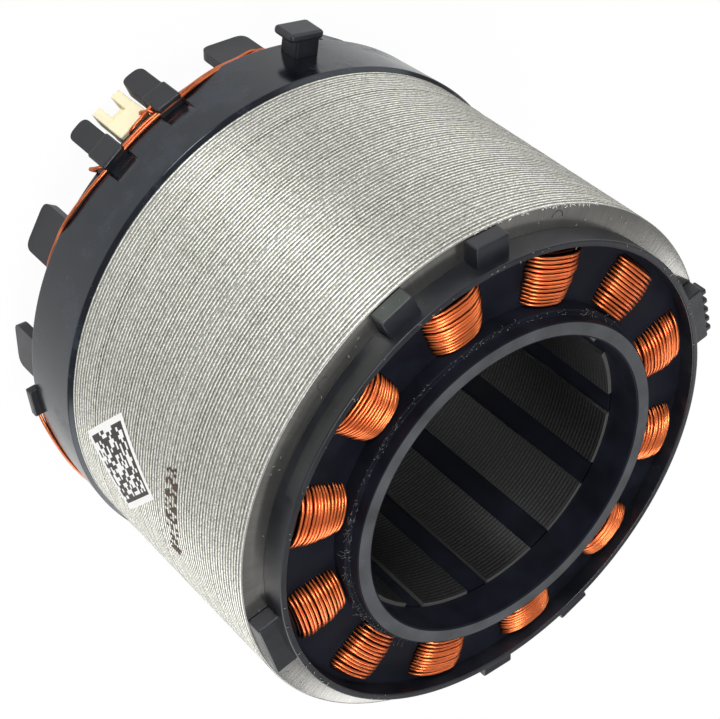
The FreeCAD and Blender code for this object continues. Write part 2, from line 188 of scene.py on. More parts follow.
def tubes(paths, radius, sides=8, closed=False, reference=(0, 0, 1)):
    # paths is (wires, points, 3); round each point a ring square to the wire's direction
    paths = np.asarray(paths, float)
    if paths.ndim == 2:
        paths = paths[None]
    if closed:
        ahead = np.roll(paths, -1, 1) - np.roll(paths, 1, 1)
    else:
        ahead = np.gradient(paths, axis=1)
    ahead /= np.linalg.norm(ahead, axis=2, keepdims=True)
    side = np.cross(ahead, np.asarray(reference, float))
    side /= np.linalg.norm(side, axis=2, keepdims=True)
    rise = np.cross(side, ahead)
    a = np.linspace(0, 2 * np.pi, sides, endpoint=False)[None, None, :, None]
    ring = np.cos(a) * side[:, :, None] + np.sin(a) * rise[:, :, None]
    points = paths[:, :, None] + ring * radius
    wires, length = paths.shape[:2]
    one = gridFaces(length, sides, closed, True)
    faces = (one[None] + (np.arange(wires) * length * sides)[:, None, None]).reshape(-1, 4)
    parts = [faces]
    if not closed:
        caps = np.arange(sides)[None] + (np.arange(wires) * length * sides)[:, None]
        parts += [caps[:, ::-1], caps + (length - 1) * sides]
    return points.reshape(-1, 3), parts


def curveThrough(stops, count):
    # a smooth line through the stops: on each stretch the four nearest stops are weighed
    # by (-t+2t2-t3)/2, (2-5t2+3t3)/2, (t+4t2-3t3)/2 and (t3-t2)/2
    stops = np.asarray(stops, float)
    stops = np.concatenate([2 * stops[:1] - stops[1:2], stops, 2 * stops[-1:] - stops[-2:-1]])
    where = np.linspace(0, len(stops) - 3 - 1e-9, count)
    k = where.astype(int)
    t = (where - k)[:, None]
    return (stops[k] * (-t + 2 * t ** 2 - t ** 3) + stops[k + 1] * (2 - 5 * t ** 2 + 3 * t ** 3)
            + stops[k + 2] * (t + 4 * t ** 2 - 3 * t ** 3) + stops[k + 3] * (t ** 3 - t ** 2)) / 2


def roundAxis(stops):
    # (angle, r, z) to (x, y, z)
    a, r, z = np.asarray(stops, float).T
    return np.stack([r * np.cos(np.radians(a)), r * np.sin(np.radians(a)), z], 1)


def unrolled(angles, radius, along):
    # a turned surface laid flat: the way round at one radius, and the way along
    around = np.radians(angles) * radius
    return np.stack([np.repeat(around, len(along)), np.tile(along, len(angles))], 1)


bevelSteps, bevelAngle = 3, 40


def addPiece(name, shape, material, replaced=(), bevel=0.0, uv=None, smooth=True):
    # the shape becomes a mesh in metres, with its faces turned outwards
    mesh = bpy.data.meshes.new(name)
    faces = []
    for part in shape[1]:
        faces += part.tolist()
    mesh.from_pydata((shape[0] * mm).tolist(), [], faces)
    if uv is not None:
        corner = np.empty(len(mesh.loops), int)
        mesh.loops.foreach_get("vertex_index", corner)
        layer = mesh.uv_layers.new(name="plan")
        layer.data.foreach_set("uv", np.asarray(uv, np.float32)[corner].ravel())
    outward = bmesh.new()
    outward.from_mesh(mesh)
    bmesh.ops.recalc_face_normals(outward, faces=outward.faces)
    outward.to_mesh(mesh)
    outward.free()
    mesh.polygons.foreach_set("use_smooth", [smooth] * len(mesh.polygons))
    mesh.materials.append(material)
    piece = bpy.data.objects.new(name, mesh)
    bpy.context.collection.objects.link(piece)
    if bevel:
        soften = piece.modifiers.new("soften", "BEVEL")
        soften.width = bevel * mm
        soften.segments = bevelSteps
        soften.limit_method = "ANGLE"
        soften.angle_limit = math.radians(bevelAngle)
        soften.harden_normals = True
    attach(piece, "root")
    if replaced:
        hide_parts(*replaced)
    return piece


def addBlock(name, size, angle, material, replaced=(), bevel=0.0, aside=0.0):
    # a block turned to its angle; size is inner and outer radius, width, low and high
    shape = turnedBy(block(*size, aside=aside), angle)
    addPiece(name, shape, material, replaced, bevel)


def newMaterial(name):
    # the material with its nodes, links and shader
    material = bpy.data.materials.new(name)
    material.use_nodes = True
    nodes = material.node_tree.nodes
    return material, nodes, material.node_tree.links, nodes["Principled BSDF"]


def plainMaterial(name, colour, rough, metal=0.0):
    # one colour and one gloss all over
    material, nodes, links, shader = newMaterial(name)
    shader.inputs["Base Color"].default_value = (*colour, 1)
    shader.inputs["Roughness"].default_value = rough
    shader.inputs["Metallic"].default_value = metal
    return material


def sums(nodes, links, operation, first, second):
    # one arithmetic node; each of its two inputs is a socket or a plain number
    node = nodes.new("ShaderNodeMath")
    node.operation = operation
    for index, value in enumerate((first, second)):
        if isinstance(value, (int, float)):
            node.inputs[index].default_value = value
        elif value is not None:
            links.new(value, node.inputs[index])
    return node.outputs[0]


noisePlane = {"offset": 307.31, "step": 11, "depth": 0.37}   # off the noise's own lattice


def noiseAt(nodes, links, across, along, scaleAcross, scaleAlong, detail=2.0):
    # noise on a plane: each coordinate plus an offset is multiplied by its own scale
    pair = nodes.new("ShaderNodeCombineXYZ")
    for index, (value, scale) in enumerate(((across, scaleAcross), (along, scaleAlong))):
        moved = sums(nodes, links, "ADD", value, noisePlane["offset"] + noisePlane["step"] * index)
        links.new(sums(nodes, links, "MULTIPLY", moved, scale), pair.inputs[index])
    pair.inputs[2].default_value = noisePlane["depth"]
    noise = nodes.new("ShaderNodeTexNoise")
    noise.inputs["Scale"].default_value = 1.0
    noise.inputs["Detail"].default_value = detail
    links.new(pair.outputs[0], noise.inputs["Vector"])
    return noise.outputs[0]


def noiseIn(nodes, links, where, scale, detail, roughness=0.5):
    # noise in space, with scale waves to the metre
    noise = nodes.new("ShaderNodeTexNoise")
    noise.inputs["Scale"].default_value = scale
    noise.inputs["Detail"].default_value = detail
    noise.inputs["Roughness"].default_value = roughness
    links.new(where, noise.inputs["Vector"])
    return noise.outputs[0]


def planOf(nodes, links):
    # the two coordinates of the piece's own plan
    plan = nodes.new("ShaderNodeUVMap")
    plan.uv_map = "plan"
    split = nodes.new("ShaderNodeSeparateXYZ")
    links.new(plan.outputs[0], split.inputs[0])
    return split.outputs[0], split.outputs[1]


def spread(nodes, links, value, low, high, newLow, newHigh):
    # value from low..high to newLow..newHigh, held at both ends
    node = nodes.new("ShaderNodeMapRange")
    links.new(value, node.inputs["Value"])
    ends = {"From Min": low, "From Max": high, "To Min": newLow, "To Max": newHigh}
    for key, number in ends.items():
        node.inputs[key].default_value = number
    return node.outputs[0]


def tinted(nodes, links, amount, colour):
    # colour times amount
    node = nodes.new("ShaderNodeVectorMath")
    node.operation = "SCALE"
    node.inputs[0].default_value = colour
    links.new(amount, node.inputs["Scale"])
    return node.outputs[0]


def bumpFrom(nodes, links, shader, height, depth):
    # height from 0 to 1 raises the surface by up to depth millimetres
    bump = nodes.new("ShaderNodeBump")
    bump.inputs["Distance"].default_value = depth * mm
    bump.inputs["Strength"].default_value = 1.0
    links.new(height, bump.inputs["Height"])
    links.new(bump.outputs[0], shader.inputs["Normal"])


sheetLook = {
    "apart": 97.0,          # sends each sheet to its own place in the noise
    "ragged": 5.2,          # waves to the millimetre along a sheet's edge
    "shift": 0.08,          # how far the edge strays, as a share of the sheet
    "stops": ((0.16, 0.0), (0.34, 0.9), (0.64, 1.0), (0.8, 0.1)),   # place, brightness
    "patches": 1.7,         # waves to the millimetre of the broad patches
    "grain": (6.3, 4.7),    # and of the fine grain, round and along the stack
    "grainDepth": 0.02,
    "smear": 0.92,          # how far the highlight is drawn out
    "smearTurn": 0.25,      # a quarter turn, so that it is drawn out along the stack
}


def sheetMaterial(name, colour, contrast, rough, metal):
    # the plan gives millimetres round and along the stack; in each sheet a smooth bright
    # band is followed by a rough dark one, and no two sheets are quite alike; the dark band is
    # partly the sheet's own rough edge and partly painted shade in the groove between sheets
    material, nodes, links, shader = newMaterial(name)
    around, along = planOf(nodes, links)
    sheets = sums(nodes, links, "DIVIDE", along, stack["sheet"])
    number = sums(nodes, links, "FLOOR", sheets, None)
    chance = nodes.new("ShaderNodeTexWhiteNoise")
    chance.noise_dimensions = "1D"
    links.new(number, chance.inputs["W"])
    row = sums(nodes, links, "MULTIPLY", chance.outputs["Value"], sheetLook["apart"])
    ragged = noiseAt(nodes, links, around, row, sheetLook["ragged"], 1.0, 2.0)
    shift = spread(nodes, links, ragged, 0.25, 0.75, -sheetLook["shift"], sheetLook["shift"])
    place = sums(nodes, links, "FRACT", sheets, None)
    place = sums(nodes, links, "ADD", place, shift)
    # the ramp's dark ends lie over the groove: the rough edge's own darker tone, and painted shade
    band = nodes.new("ShaderNodeValToRGB")
    stops = band.color_ramp.elements
    for index in range(2):
        stops[index].position, stops[index].color = index, (0.0, 0.0, 0.0, 1)
    for where, level in sheetLook["stops"]:
        stop = stops.new(where)
        stop.color = (level, level, level, 1)
    links.new(place, band.inputs[0])
    patches = noiseAt(nodes, links, around, row, sheetLook["patches"], sheetLook["patches"], 3.0)
    grain = noiseAt(nodes, links, around, along, *sheetLook["grain"], 1.0)
    level = spread(nodes, links, band.outputs[0], 0, 1, 1 - contrast, 1.0)
    patchy = spread(nodes, links, patches, 0.3, 0.7, 0.94, 1.2)
    # the fine grain lifts the colour up to half again: partly the steel's grain, partly painted
    # glints
    grainAndGlint = spread(nodes, links, grain, 0.35, 0.75, 0.72, 1.5)
    level = sums(nodes, links, "MULTIPLY", level, patchy)
    level = sums(nodes, links, "MULTIPLY", level, grainAndGlint)
    links.new(tinted(nodes, links, level, colour), shader.inputs["Base Color"])
    dull = spread(nodes, links, grain, 0.35, 0.7, rough + 0.1, rough - 0.1)
    links.new(dull, shader.inputs["Roughness"])
    shader.inputs["Metallic"].default_value = metal
    # the rounded sheet edges smear a highlight along the stack, not round it
    way = nodes.new("ShaderNodeTangent")
    way.direction_type = "UV_MAP"
    way.uv_map = "plan"
    links.new(way.outputs[0], shader.inputs["Tangent"])
    shader.inputs["Anisotropic"].default_value = sheetLook["smear"]
    shader.inputs["Anisotropic Rotation"].default_value = sheetLook["smearTurn"]
    bumpFrom(nodes, links, shader, grain, sheetLook["grainDepth"])
    return material


faceLook = {"streaks": (3.2, 0.25), "stains": (0.12, 0.3), "rough": 0.2, "metal": 0.95,
            "streakDepth": 0.005}


def faceMaterial(name, colour):
    # rolled and brushed sheet: fine streaks along the radius over broad faint stains
    material, nodes, links, shader = newMaterial(name)
    around, outwards = planOf(nodes, links)
    streaks = noiseAt(nodes, links, around, outwards, *faceLook["streaks"], 3.0)
    stains = noiseAt(nodes, links, around, outwards, *faceLook["stains"], 2.0)
    level = sums(nodes, links, "MULTIPLY", spread(nodes, links, streaks, 0.3, 0.7, 0.9, 1.06),
                 spread(nodes, links, stains, 0.3, 0.7, 0.8, 1.1))
    links.new(tinted(nodes, links, level, colour), shader.inputs["Base Color"])
    shader.inputs["Roughness"].default_value = faceLook["rough"]
    shader.inputs["Metallic"].default_value = faceLook["metal"]
    bumpFrom(nodes, links, shader, streaks, faceLook["streakDepth"])
    return material


nylonLook = {"scuffs": 260.0, "specks": 2600.0, "speckLevel": 6, "smudges": 150.0,
             "smudgeDull": 0.25}


def nylonMaterial(name, colour, rough, dust=0.0, scratch=0.015, smudge=0.0):
    # glass filled nylon: a faint grain, scuffed lighter in places, with dust specks
    material, nodes, links, shader = newMaterial(name)
    where = nodes.new("ShaderNodeTexCoord").outputs["Object"]
    scuff = noiseIn(nodes, links, where, nylonLook["scuffs"], 4.0)
    specks = noiseIn(nodes, links, where, nylonLook["specks"], 1.0)
    level = spread(nodes, links, scuff, 0.35, 0.7, 0.75, 1.5)
    spots = spread(nodes, links, specks, 0.72, 0.78, 0.0, dust * nylonLook["speckLevel"])
    level = sums(nodes, links, "ADD", level, spots)
    dull = spread(nodes, links, scuff, 0.3, 0.7, rough * 0.8, rough * 1.25)
    if smudge:
        # greasy marks: patches where the surface is both lighter and duller
        marks = noiseIn(nodes, links, where, nylonLook["smudges"], 5.0, 0.65)
        patch = spread(nodes, links, marks, 0.52, 0.68, 0.0, 1.0)
        lighter = sums(nodes, links, "MULTIPLY", patch, smudge / colour[2])
        duller = sums(nodes, links, "MULTIPLY", patch, nylonLook["smudgeDull"])
        level = sums(nodes, links, "ADD", level, lighter)
        dull = sums(nodes, links, "ADD", dull, duller)
    links.new(tinted(nodes, links, level, colour), shader.inputs["Base Color"])
    links.new(dull, shader.inputs["Roughness"])
    bumpFrom(nodes, links, shader, scuff, scratch)
    return material


wireLook = {
    "tone": 500.0,
    "metal": 0.9,
    "paintedShadeStretch": (0.1, 1.15),   # over this stretch past the crown's foot the painted shade lifts and the turns brighten
    # the darkest level of that painted shade
    "paintedShadeLevel": 0.02,
}


def wireMaterial(name, colour, rough, crown=None):
    # enamelled copper, a little browner here and there
    material, nodes, links, shader = newMaterial(name)
    where = nodes.new("ShaderNodeTexCoord").outputs["Object"]
    tone = noiseIn(nodes, links, where, wireLook["tone"], 2.0)
    level = spread(nodes, links, tone, 0.3, 0.7, 0.85, 1.1)
    if crown:
        # painted shade: the turns are darkened where they dive between the teeth, in place of the
        # shade there; away from the middle of the stack by less than crown they are dark, and a
        # little further out they are bright
        height = nodes.new("ShaderNodeSeparateXYZ")
        links.new(where, height.inputs[0])
        middle = sums(nodes, links, "SUBTRACT", height.outputs[2], stack["length"] / 2 * mm)
        away = sums(nodes, links, "ABSOLUTE", middle, None)
        low, high = [(crown + step) * mm for step in wireLook["paintedShadeStretch"]]
        depth = spread(nodes, links, away, low, high, wireLook["paintedShadeLevel"], 1.0)
        level = sums(nodes, links, "MULTIPLY", level, depth)
    links.new(tinted(nodes, links, level, colour), shader.inputs["Base Color"])
    shader.inputs["Roughness"].default_value = rough
    shader.inputs["Metallic"].default_value = wireLook["metal"]
    return material


steel = plainMaterial("steel", (0.42, 0.42, 0.4), 0.4, 0.9)
# dark steel for the dimples' threads: painted shade
darkSteel = plainMaterial("darkSteel", (0.07, 0.07, 0.07), 0.45, 0.8)
# near white steel for the burrs at the stack's edge: real burrs, their brightness a painted glint
glintSteel = plainMaterial("glintSteel", (0.95, 0.95, 0.92), 0.3, 0.6)
sheetEdges = sheetMaterial("sheetEdges", (0.86, 0.85, 0.765), 0.93, 0.55, 0.7)
# the tooth faces take the sheet look with its colour darkened to near black: painted shade for the
# dark bore
boreEdges = sheetMaterial("boreEdges", (0.036, 0.036, 0.036), 0.9, 0.45, 0.4)
sheetFace = faceMaterial("sheetFace", (0.42, 0.413, 0.39))
nylon = nylonMaterial("nylon", (0.008, 0.009, 0.013), 0.34, dust=0.3)
bandNylon = nylonMaterial("bandNylon", (0.005, 0.006, 0.009), 0.17, dust=0.8, smudge=0.02)
# a lighter nylon for the collar's flat rim: painted light on the face turned up to the light
rimNylon = nylonMaterial("rimNylon", (0.042, 0.044, 0.049), 0.55, dust=0.1)
deepNylon = nylonMaterial("deepNylon", (0.0065, 0.0075, 0.013), 0.62)
dustyNylon = nylonMaterial("dustyNylon", (0.015, 0.017, 0.016), 0.42, dust=0.4)
scuffed = nylonMaterial("scuffed", (0.036, 0.042, 0.037), 0.5, dust=0.5, scratch=0.2)
copper = wireMaterial("copper", (0.56, 0.14, 0.05), 0.3)
cream = plainMaterial("cream", (0.9, 0.82, 0.56), 0.5)
# near black for the contacts' tips: painted shade in place of a hole
darkHole = plainMaterial("darkHole", (0.03, 0.025, 0.02), 0.6)
burnt = plainMaterial("burnt", (0.07, 0.04, 0.02), 0.7)
fibre = plainMaterial("fibre", (0.3, 0.29, 0.26), 0.8)
darkFibre = plainMaterial("darkFibre", (0.1, 0.1, 0.095), 0.8)

bandShader = bandNylon.node_tree.nodes["Principled BSDF"]
bandShader.inputs["Specular Tint"].default_value = (0.85, 0.93, 1.0, 1)
deepShader = deepNylon.node_tree.nodes["Principled BSDF"]
deepShader.inputs["Specular IOR Level"].default_value = 0.1

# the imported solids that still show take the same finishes, slot by slot
finishes = {"electrical_steel": steel, "black_nylon": nylon, "enamelled_copper": copper,
            "copper_wire": copper, "cream_plastic": cream, "tinned_contact": steel}
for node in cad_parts.values():
    for slot in node.material_slots:
        for key in finishes:
            if slot.material and slot.material.name.startswith(key):
                slot.material = finishes[key]
                break
print("materials mixed")


def sheetRings():
    # three rings a sheet: the groove, then the two edges of the sheet's own rim, whose
    # radius wanders a little from sheet to sheet
    count = int(round(stack["length"] / stack["sheet"]))
    rng = np.random.default_rng(3)
    low = np.arange(count) * stack["sheet"]
    rim = stack["radius"] + stack["skin"] + rng.normal(0, stack["wander"], count)
    r = np.stack([rim - stack["groove"], rim, rim], 1).ravel()
    z = np.stack([low] + [low + share * stack["sheet"] for share in stack["rim"]], 1).ravel()
    last = [(stack["radius"] - stack["groove"], stack["length"])]
    return np.concatenate([np.stack([r, z], 1), last])


def addStackSide():
    # the rings of all sheets, carried round the axis
    rings, count = sheetRings(), 241
    shape = turned(rings, *stack["turn"], count, closed=False)
    plan = unrolled(np.linspace(-180, 180, count), stack["radius"], rings[:, 1])
    addPiece("stackSide", shape, sheetEdges, uv=plan)


def addStackFace():
    # a flat ring with a rounded outer edge, carried round the axis over the front sheet
    radius, skin, edge, count = stack["radius"], stack["skin"], stack["edge"], 361
    top = stack["length"] + skin
    face = [(stack["faceInner"], top), (radius - edge, top),
            (radius - edge / 4, top - edge / 4), (radius + skin, top - edge),
            (radius - skin, top - stack["edgeDepth"])]
    shape = turned(face, *stack["turn"], count, closed=False)
    plan = unrolled(np.linspace(-180, 180, count), radius, [point[0] for point in face])
    addPiece("stackFace", shape, sheetFace, uv=plan)


def addToothFaces():
    # each tooth's face is part of a cylinder; half its angle is half the tooth pitch less
    # the angle whose sine is half the slot's mouth over the bore's radius
    bore, teeth = stack["bore"], stack["teeth"]
    half = 180 / teeth - math.degrees(math.asin(stack["opening"] / 2 / bore))
    rows, steps = 24, 13
    heights = np.linspace(0, stack["length"], rows)
    line = np.stack([np.full(rows, bore - stack["skin"]), heights], 1)
    faces, plans = [], []
    for tooth in range(teeth):
        middle = (tooth + 0.5) * 360 / teeth
        first, last = middle - half, middle + half
        faces.append(turned(line, first, last, steps, closed=False))
        plans.append(unrolled(np.linspace(first, last, steps), bore, heights))
    addPiece("toothFaces", joined(faces), boreEdges,
             uv=np.concatenate(plans))


addStackSide()
addStackFace()
addToothFaces()
print("stack dressed")

liner = {
    "mouth": (18.95, 19.9),   # radii of the strip that closes a slot's mouth
    "play": 0.1,
    "inner": 20.9,            # the walls start at this radius
    "wall": 0.5,
    "floor": 0.6,
    "off": 0.3,               # from the steel to the liner's own middle or inner face
    "short": 0.2,             # the liners end this far inside the stack's two faces
    "floorHalf": 10,          # degrees
}


def slotLiners():
    # in each slot: the strip that closes its mouth, the floor, the walls along both teeth
    shapes = []
    low, high = liner["short"], stack["length"] - liner["short"]
    aside = stack["toothWidth"] / 2 + liner["off"]
    floor = stack["slotDepth"] - liner["off"]
    back = floor + liner["floor"]
    pitch = 360 / stack["teeth"]
    mouth = block(*liner["mouth"], stack["opening"] - liner["play"], low, high)
    for slot in range(stack["teeth"]):
        middle = slot * pitch
        shapes.append(turnedBy(mouth, middle))
        shapes.append(turned([(floor, low), (back, low), (back, high), (floor, high)],
                             middle - liner["floorHalf"], middle + liner["floorHalf"], 8))
        for side in (-1, 1):
            wall = block(liner["inner"], floor + liner["off"], liner["wall"], low, high,
                         aside=side * aside)
            shapes.append(turnedBy(wall, middle - side * pitch / 2))
    return shapes


collar = {"inner": 19.05, "outer": 20.9, "ledge": 21.52}

front = {
    "wallOuter": 29.85,
    "wallInner": 29.05,
    "wallFoot": 28.1,
    "wallHeight": 3.1,
    "plate": 1.0,
    "plateInner": 21.2,
    "ledgeHeight": 3.0,
    "collarHeight": 4.45,
    "lugInner": 29.25,
    "lugReach": 32.45,
    "broadReach": 32.25,
    "lugFoot": 0.03,
    "lugHeight": 2.1,
    "broadLug": 8.0,
    "narrowLug": 4.3,
    "broadAngles": (76.4, 256.4),
    "narrowAngles": (-3.4, -25.8, 176.6, 154.2),
}


def collarRing(base, ledge, rim, radii):
    # the collar's section is an L: a wide foot up to the ledge, then a thin wall to the rim
    return rounded([(collar["inner"], base), (collar["ledge"], base), (collar["ledge"], ledge),
                    (collar["outer"], ledge), (collar["outer"], rim), (collar["inner"], rim)],
                   [0.05, 0.05, 0.15, 0.1] + radii)


def addFrontInsulator():
    # wall, plate and collar are sections carried round the axis
    base = stack["length"]
    top = base + front["wallHeight"]
    plate = base + front["plate"]
    outer, inner, foot = front["wallOuter"], front["wallInner"], front["wallFoot"]
    wall = rounded([(foot, base), (outer, base), (outer, top), (inner, top),
                    (inner, plate - 0.1), (foot, plate - 0.1)],
                   [0.05, 0.1, 0.16, 0.16, 0.1, 0.1])
    floorPlate = rounded([(front["plateInner"], base), (inner + 0.1, base),
                          (inner + 0.1, plate), (front["plateInner"], plate)], [0.05] * 4)
    rim = base + front["collarHeight"]
    ring = collarRing(base, base + front["ledgeHeight"], rim, [0.12, 0.2])
    # the rim's flat top gets the lighter coat: painted light
    stripSection = [(collar["inner"] + 0.2, rim + 0.01), (collar["outer"] - 0.14, rim + 0.01)]
    addPiece("frontPlate", turned(floorPlate), deepNylon)
    addPiece("frontWall", turned(wall, count=300), nylon,
             replaced=("front_insulator",))
    addPiece("frontCollar", turned(ring), deepNylon)
    addPiece("litRimTop", turned(stripSection, closed=False), rimNylon)
    addPiece("slotLiners", joined(slotLiners()), deepNylon, smooth=False)


def addLugs():
    # six blocks on the outer face of the wall, two of them broad
    low = stack["length"] + front["lugFoot"]
    high = stack["length"] + front["lugHeight"]
    lugs = [(angle, front["broadReach"], front["broadLug"]) for angle in front["broadAngles"]]
    lugs += [(angle, front["lugReach"], front["narrowLug"]) for angle in front["narrowAngles"]]
    for index, (angle, reach, width) in enumerate(lugs):
        addBlock("lug%d" % (index + 1), (front["lugInner"], reach, width, low, high), angle,
                 nylon, bevel=0.22)


lugRibs = {"count": 5, "inner": 31.9, "outer": 32.95, "width": 0.75, "pitch": 1.5,
           "inset": 0.1}
wallScuff = {"lift": 0.03, "low": 1.2, "high": 2.9, "angles": (2.0, 38.0)}
lugScuff = {"inner": 32.3, "lift": 0.04, "width": 3.9, "low": 0.15, "high": 1.98}


def addLugRibs():
    # upright ribs side by side on the outer face of one broad lug
    low = stack["length"] + lugRibs["inset"]
    high = stack["length"] + front["lugHeight"] - lugRibs["inset"]
    ribs = []
    for index in range(lugRibs["count"]):
        aside = (index - (lugRibs["count"] - 1) / 2) * lugRibs["pitch"]
        ribs.append(block(lugRibs["inner"], lugRibs["outer"], lugRibs["width"], low, high, aside))
    addPiece("lugRibs", turnedBy(joined(ribs), front["broadAngles"][1]), nylon,
             bevel=0.2)


def addScuffs():
    # a worn strip round the wall and a rough outer face on one narrow lug
    base = stack["length"]
    radius = front["wallOuter"] + wallScuff["lift"]
    stripSection = [(radius, base + wallScuff["low"]), (radius, base + wallScuff["high"])]
    addPiece("wallScuff", turned(stripSection, *wallScuff["angles"], 60, closed=False), dustyNylon)
    rough = (lugScuff["inner"], front["lugReach"] + lugScuff["lift"], lugScuff["width"],
             base + lugScuff["low"], base + lugScuff["high"])
    addBlock("lugScuff", rough, front["narrowAngles"][0], scuffed, bevel=0.1)


addFrontInsulator()
addLugs()
addLugRibs()
addScuffs()
print("front insulator dressed")

rear = {
    "collarHeight": 4.4,
    "plate": 1.0,
    "plateInner": 21.2,
    "bandRadius": 33.1,
    "bandRear": 32.65,       # the band tapers to this radius at its rear end
    "bandInner": 29.5,
    "bandLength": 9.7,
    "bevel": 0.45,
    "tabInner": 29.75,
    "tabOuter": 31.0,
    "tabWidth": 6.2,
    "tabRoot": 1.0,          # the tabs start this far inside the band
    "tabLength": 6.9,
    "tabCorner": 1.3,
}

guide = {
    "angle": 7.6,
    "base": (30.5, 33.75, 3.4, -11.5, -7.9),   # inner and outer radius, width, low, high
    "arm": (31.4, 33.3),                       # inner and outer radius
    "armWidth": 3.0,
    "armCorner": 1.2,
    "recessDepth": 0.4,
    "recessLength": 2.8,
}

hook = {
    "angle": -37.7,
    "stem": (30.5, 35.7, 3.3, -8.4, -5.2),     # blocks, given as the guide's base is
    "cap": (35.1, 36.2, 4.7, -8.2, -4.5),
    "capAside": 0.7,
}

cleat = {"angle": 67.0, "size": (30.5, 33.5, 4.0, -10.5, -9.4)}


def bandProfile(cut):
    # the section of plate and band; the pocket in front of a guide is deepest at the guide
    # and runs out forwards, and the band's radius falls evenly towards the rear
    outer, end, low = rear["bandRadius"], rear["bandRear"], -rear["bandLength"]
    inner, plate = rear["bandInner"], -rear["plate"]
    slope = (outer - end) / (rear["bandLength"] - rear["bevel"])
    far = guide["base"][4]
    near = far + guide["recessLength"]

    def at(z):
        # the band's radius at height z
        return outer + (z + rear["bevel"]) * slope

    corners = [(rear["plateInner"], 0.0), (stack["radius"], 0.0), (outer, -rear["bevel"]),
               (at(near), near), (at(far) - cut, far), (at(far), far - 0.02), (end, low),
               (inner, low), (inner, plate), (rear["plateInner"], plate)]
    return rounded(corners, [0.05, 0.05, 0.12, 0.5, 0.01, 0.01, 0.3, 0.2, 0.3, 0.1])


def addRearBand():
    # the band's section carried round the axis, with the pocket's section inside the width
    # of each guide and a few extra sections close to the pocket's two sides
    half = math.degrees(guide["base"][2] / 2 / rear["bandRadius"])
    angles = list(np.linspace(-180, 180, 300, endpoint=False))
    for side in (-1, 1):
        for edge in (-half, half):
            angles += [side * guide["angle"] + edge + step for step in (-0.2, -0.04, 0.04, 0.2)]
    angles = np.unique(angles)
    inside = np.abs(np.abs(angles) - guide["angle"]) < half
    plain, pocket = bandProfile(0.0), bandProfile(guide["recessDepth"])
    profiles = np.where(inside[:, None, None], pocket, plain)
    a, r = np.radians(angles)[:, None], profiles[:, :, 0]
    points = np.stack([np.cos(a) * r, np.sin(a) * r, profiles[:, :, 1]], -1).reshape(-1, 3)
    band = points, [gridFaces(len(angles), len(plain), True, True)]
    addPiece("rearBand", band, bandNylon, replaced=("rear_insulator",))
    ring = collarRing(0, -front["ledgeHeight"], -rear["collarHeight"], [0.2, 0.32])
    addPiece("rearCollar", turned(ring, count=200), nylon)


def tongue(width, root, tip, corner):
    # a strip from root to tip whose two far corners are rounded
    half = width / 2
    return rounded([(-half, root), (half, root), (half, tip), (-half, tip)],
                   [0.05, 0.05, corner, corner], 5)


def addTabs():
    # one tab at every slot but the first, where the connector stands
    root = -rear["bandLength"] + rear["tabRoot"]
    tip = -rear["bandLength"] - rear["tabLength"]
    outline = tongue(rear["tabWidth"], root, tip, rear["tabCorner"])
    tab = prism(outline, rear["tabInner"], rear["tabOuter"], upright=True)
    for index in range(1, stack["teeth"]):
        addPiece("tab%02d" % index, turnedBy(tab, index * 360 / stack["teeth"]), nylon,
                 bevel=0.2)


def addGuides():
    # on each side of the connector a block on the band, and a thin arm that runs on rearwards
    tip = -rear["bandLength"] - rear["tabLength"]
    outline = tongue(guide["armWidth"], -rear["bandLength"], tip, guide["armCorner"])
    arm = prism(outline, *guide["arm"], upright=True)
    for name, side in (("left", 1), ("right", -1)):
        angle = side * guide["angle"]
        addBlock(name + "GuideBase", guide["base"], angle, nylon, bevel=0.3)
        addPiece(name + "GuideArm", turnedBy(arm, angle), nylon, bevel=0.35)


def addHook():
    # a stem on the band with a cap that reaches to one side, and a low cleat further round
    angle = hook["angle"]
    addBlock("hookStem", hook["stem"], angle, nylon, bevel=0.35)
    addBlock("hookCap", hook["cap"], angle, nylon, bevel=0.45,
             aside=hook["capAside"])
    addBlock("cleat", cleat["size"], cleat["angle"], nylon, bevel=0.2)


addRearBand()
addTabs()
addGuides()
addHook()
print("rear insulator dressed")

winding = {
    "start": 21.95,       # radius of the turn nearest the bore
    "end": 28.05,
    "pitch": 0.47,
    "wire": 0.18,         # radius of the enamelled wire
    "springs": 33.0,      # height where the crown leaves the slot
    "blunt": 2.5,         # 2 is a round crown, more is squarer
    "layers": 3,
    "layerStep": 0.42,    # each layer lies this far under the one over it
    "layerPitch": 0.04,   # and its pitch grows by this share
    "layerStart": 0.25,   # and it starts this share of a pitch further out
    "half": 3.7,          # half a turn's width at the bore end
    "halfGrowth": 0.8,
    "halfBulge": 0.1,
    "crown": 36.65,
    "crownBulge": 0.5,
    "stray": {"r": 0.024, "half": 0.07, "crown": 0.035, "slant": 0.05, "sway": 0.025},
    "lean": 0.12,
    "heartHalf": (3.0, 3.6),
    "heartCrown": (35.75, 35.9),
    "heartOver": 0.2,
}
crownHeight = stack["length"] / 2 + front["plate"]   # from the stack's middle to the plate
turnCopper = wireMaterial("turnCopper", (1.0, 0.25, 0.078), 0.29, crownHeight)
# the lower layers' copper is darkened far below the outer turns': painted shade
innerCopper = wireMaterial("innerCopper", (0.06, 0.012, 0.005), 0.45, crownHeight)
# near black for the coil's heart: painted shade between and under the turns
darkCopper = plainMaterial("darkCopper", (0.012, 0.004, 0.003), 0.6)


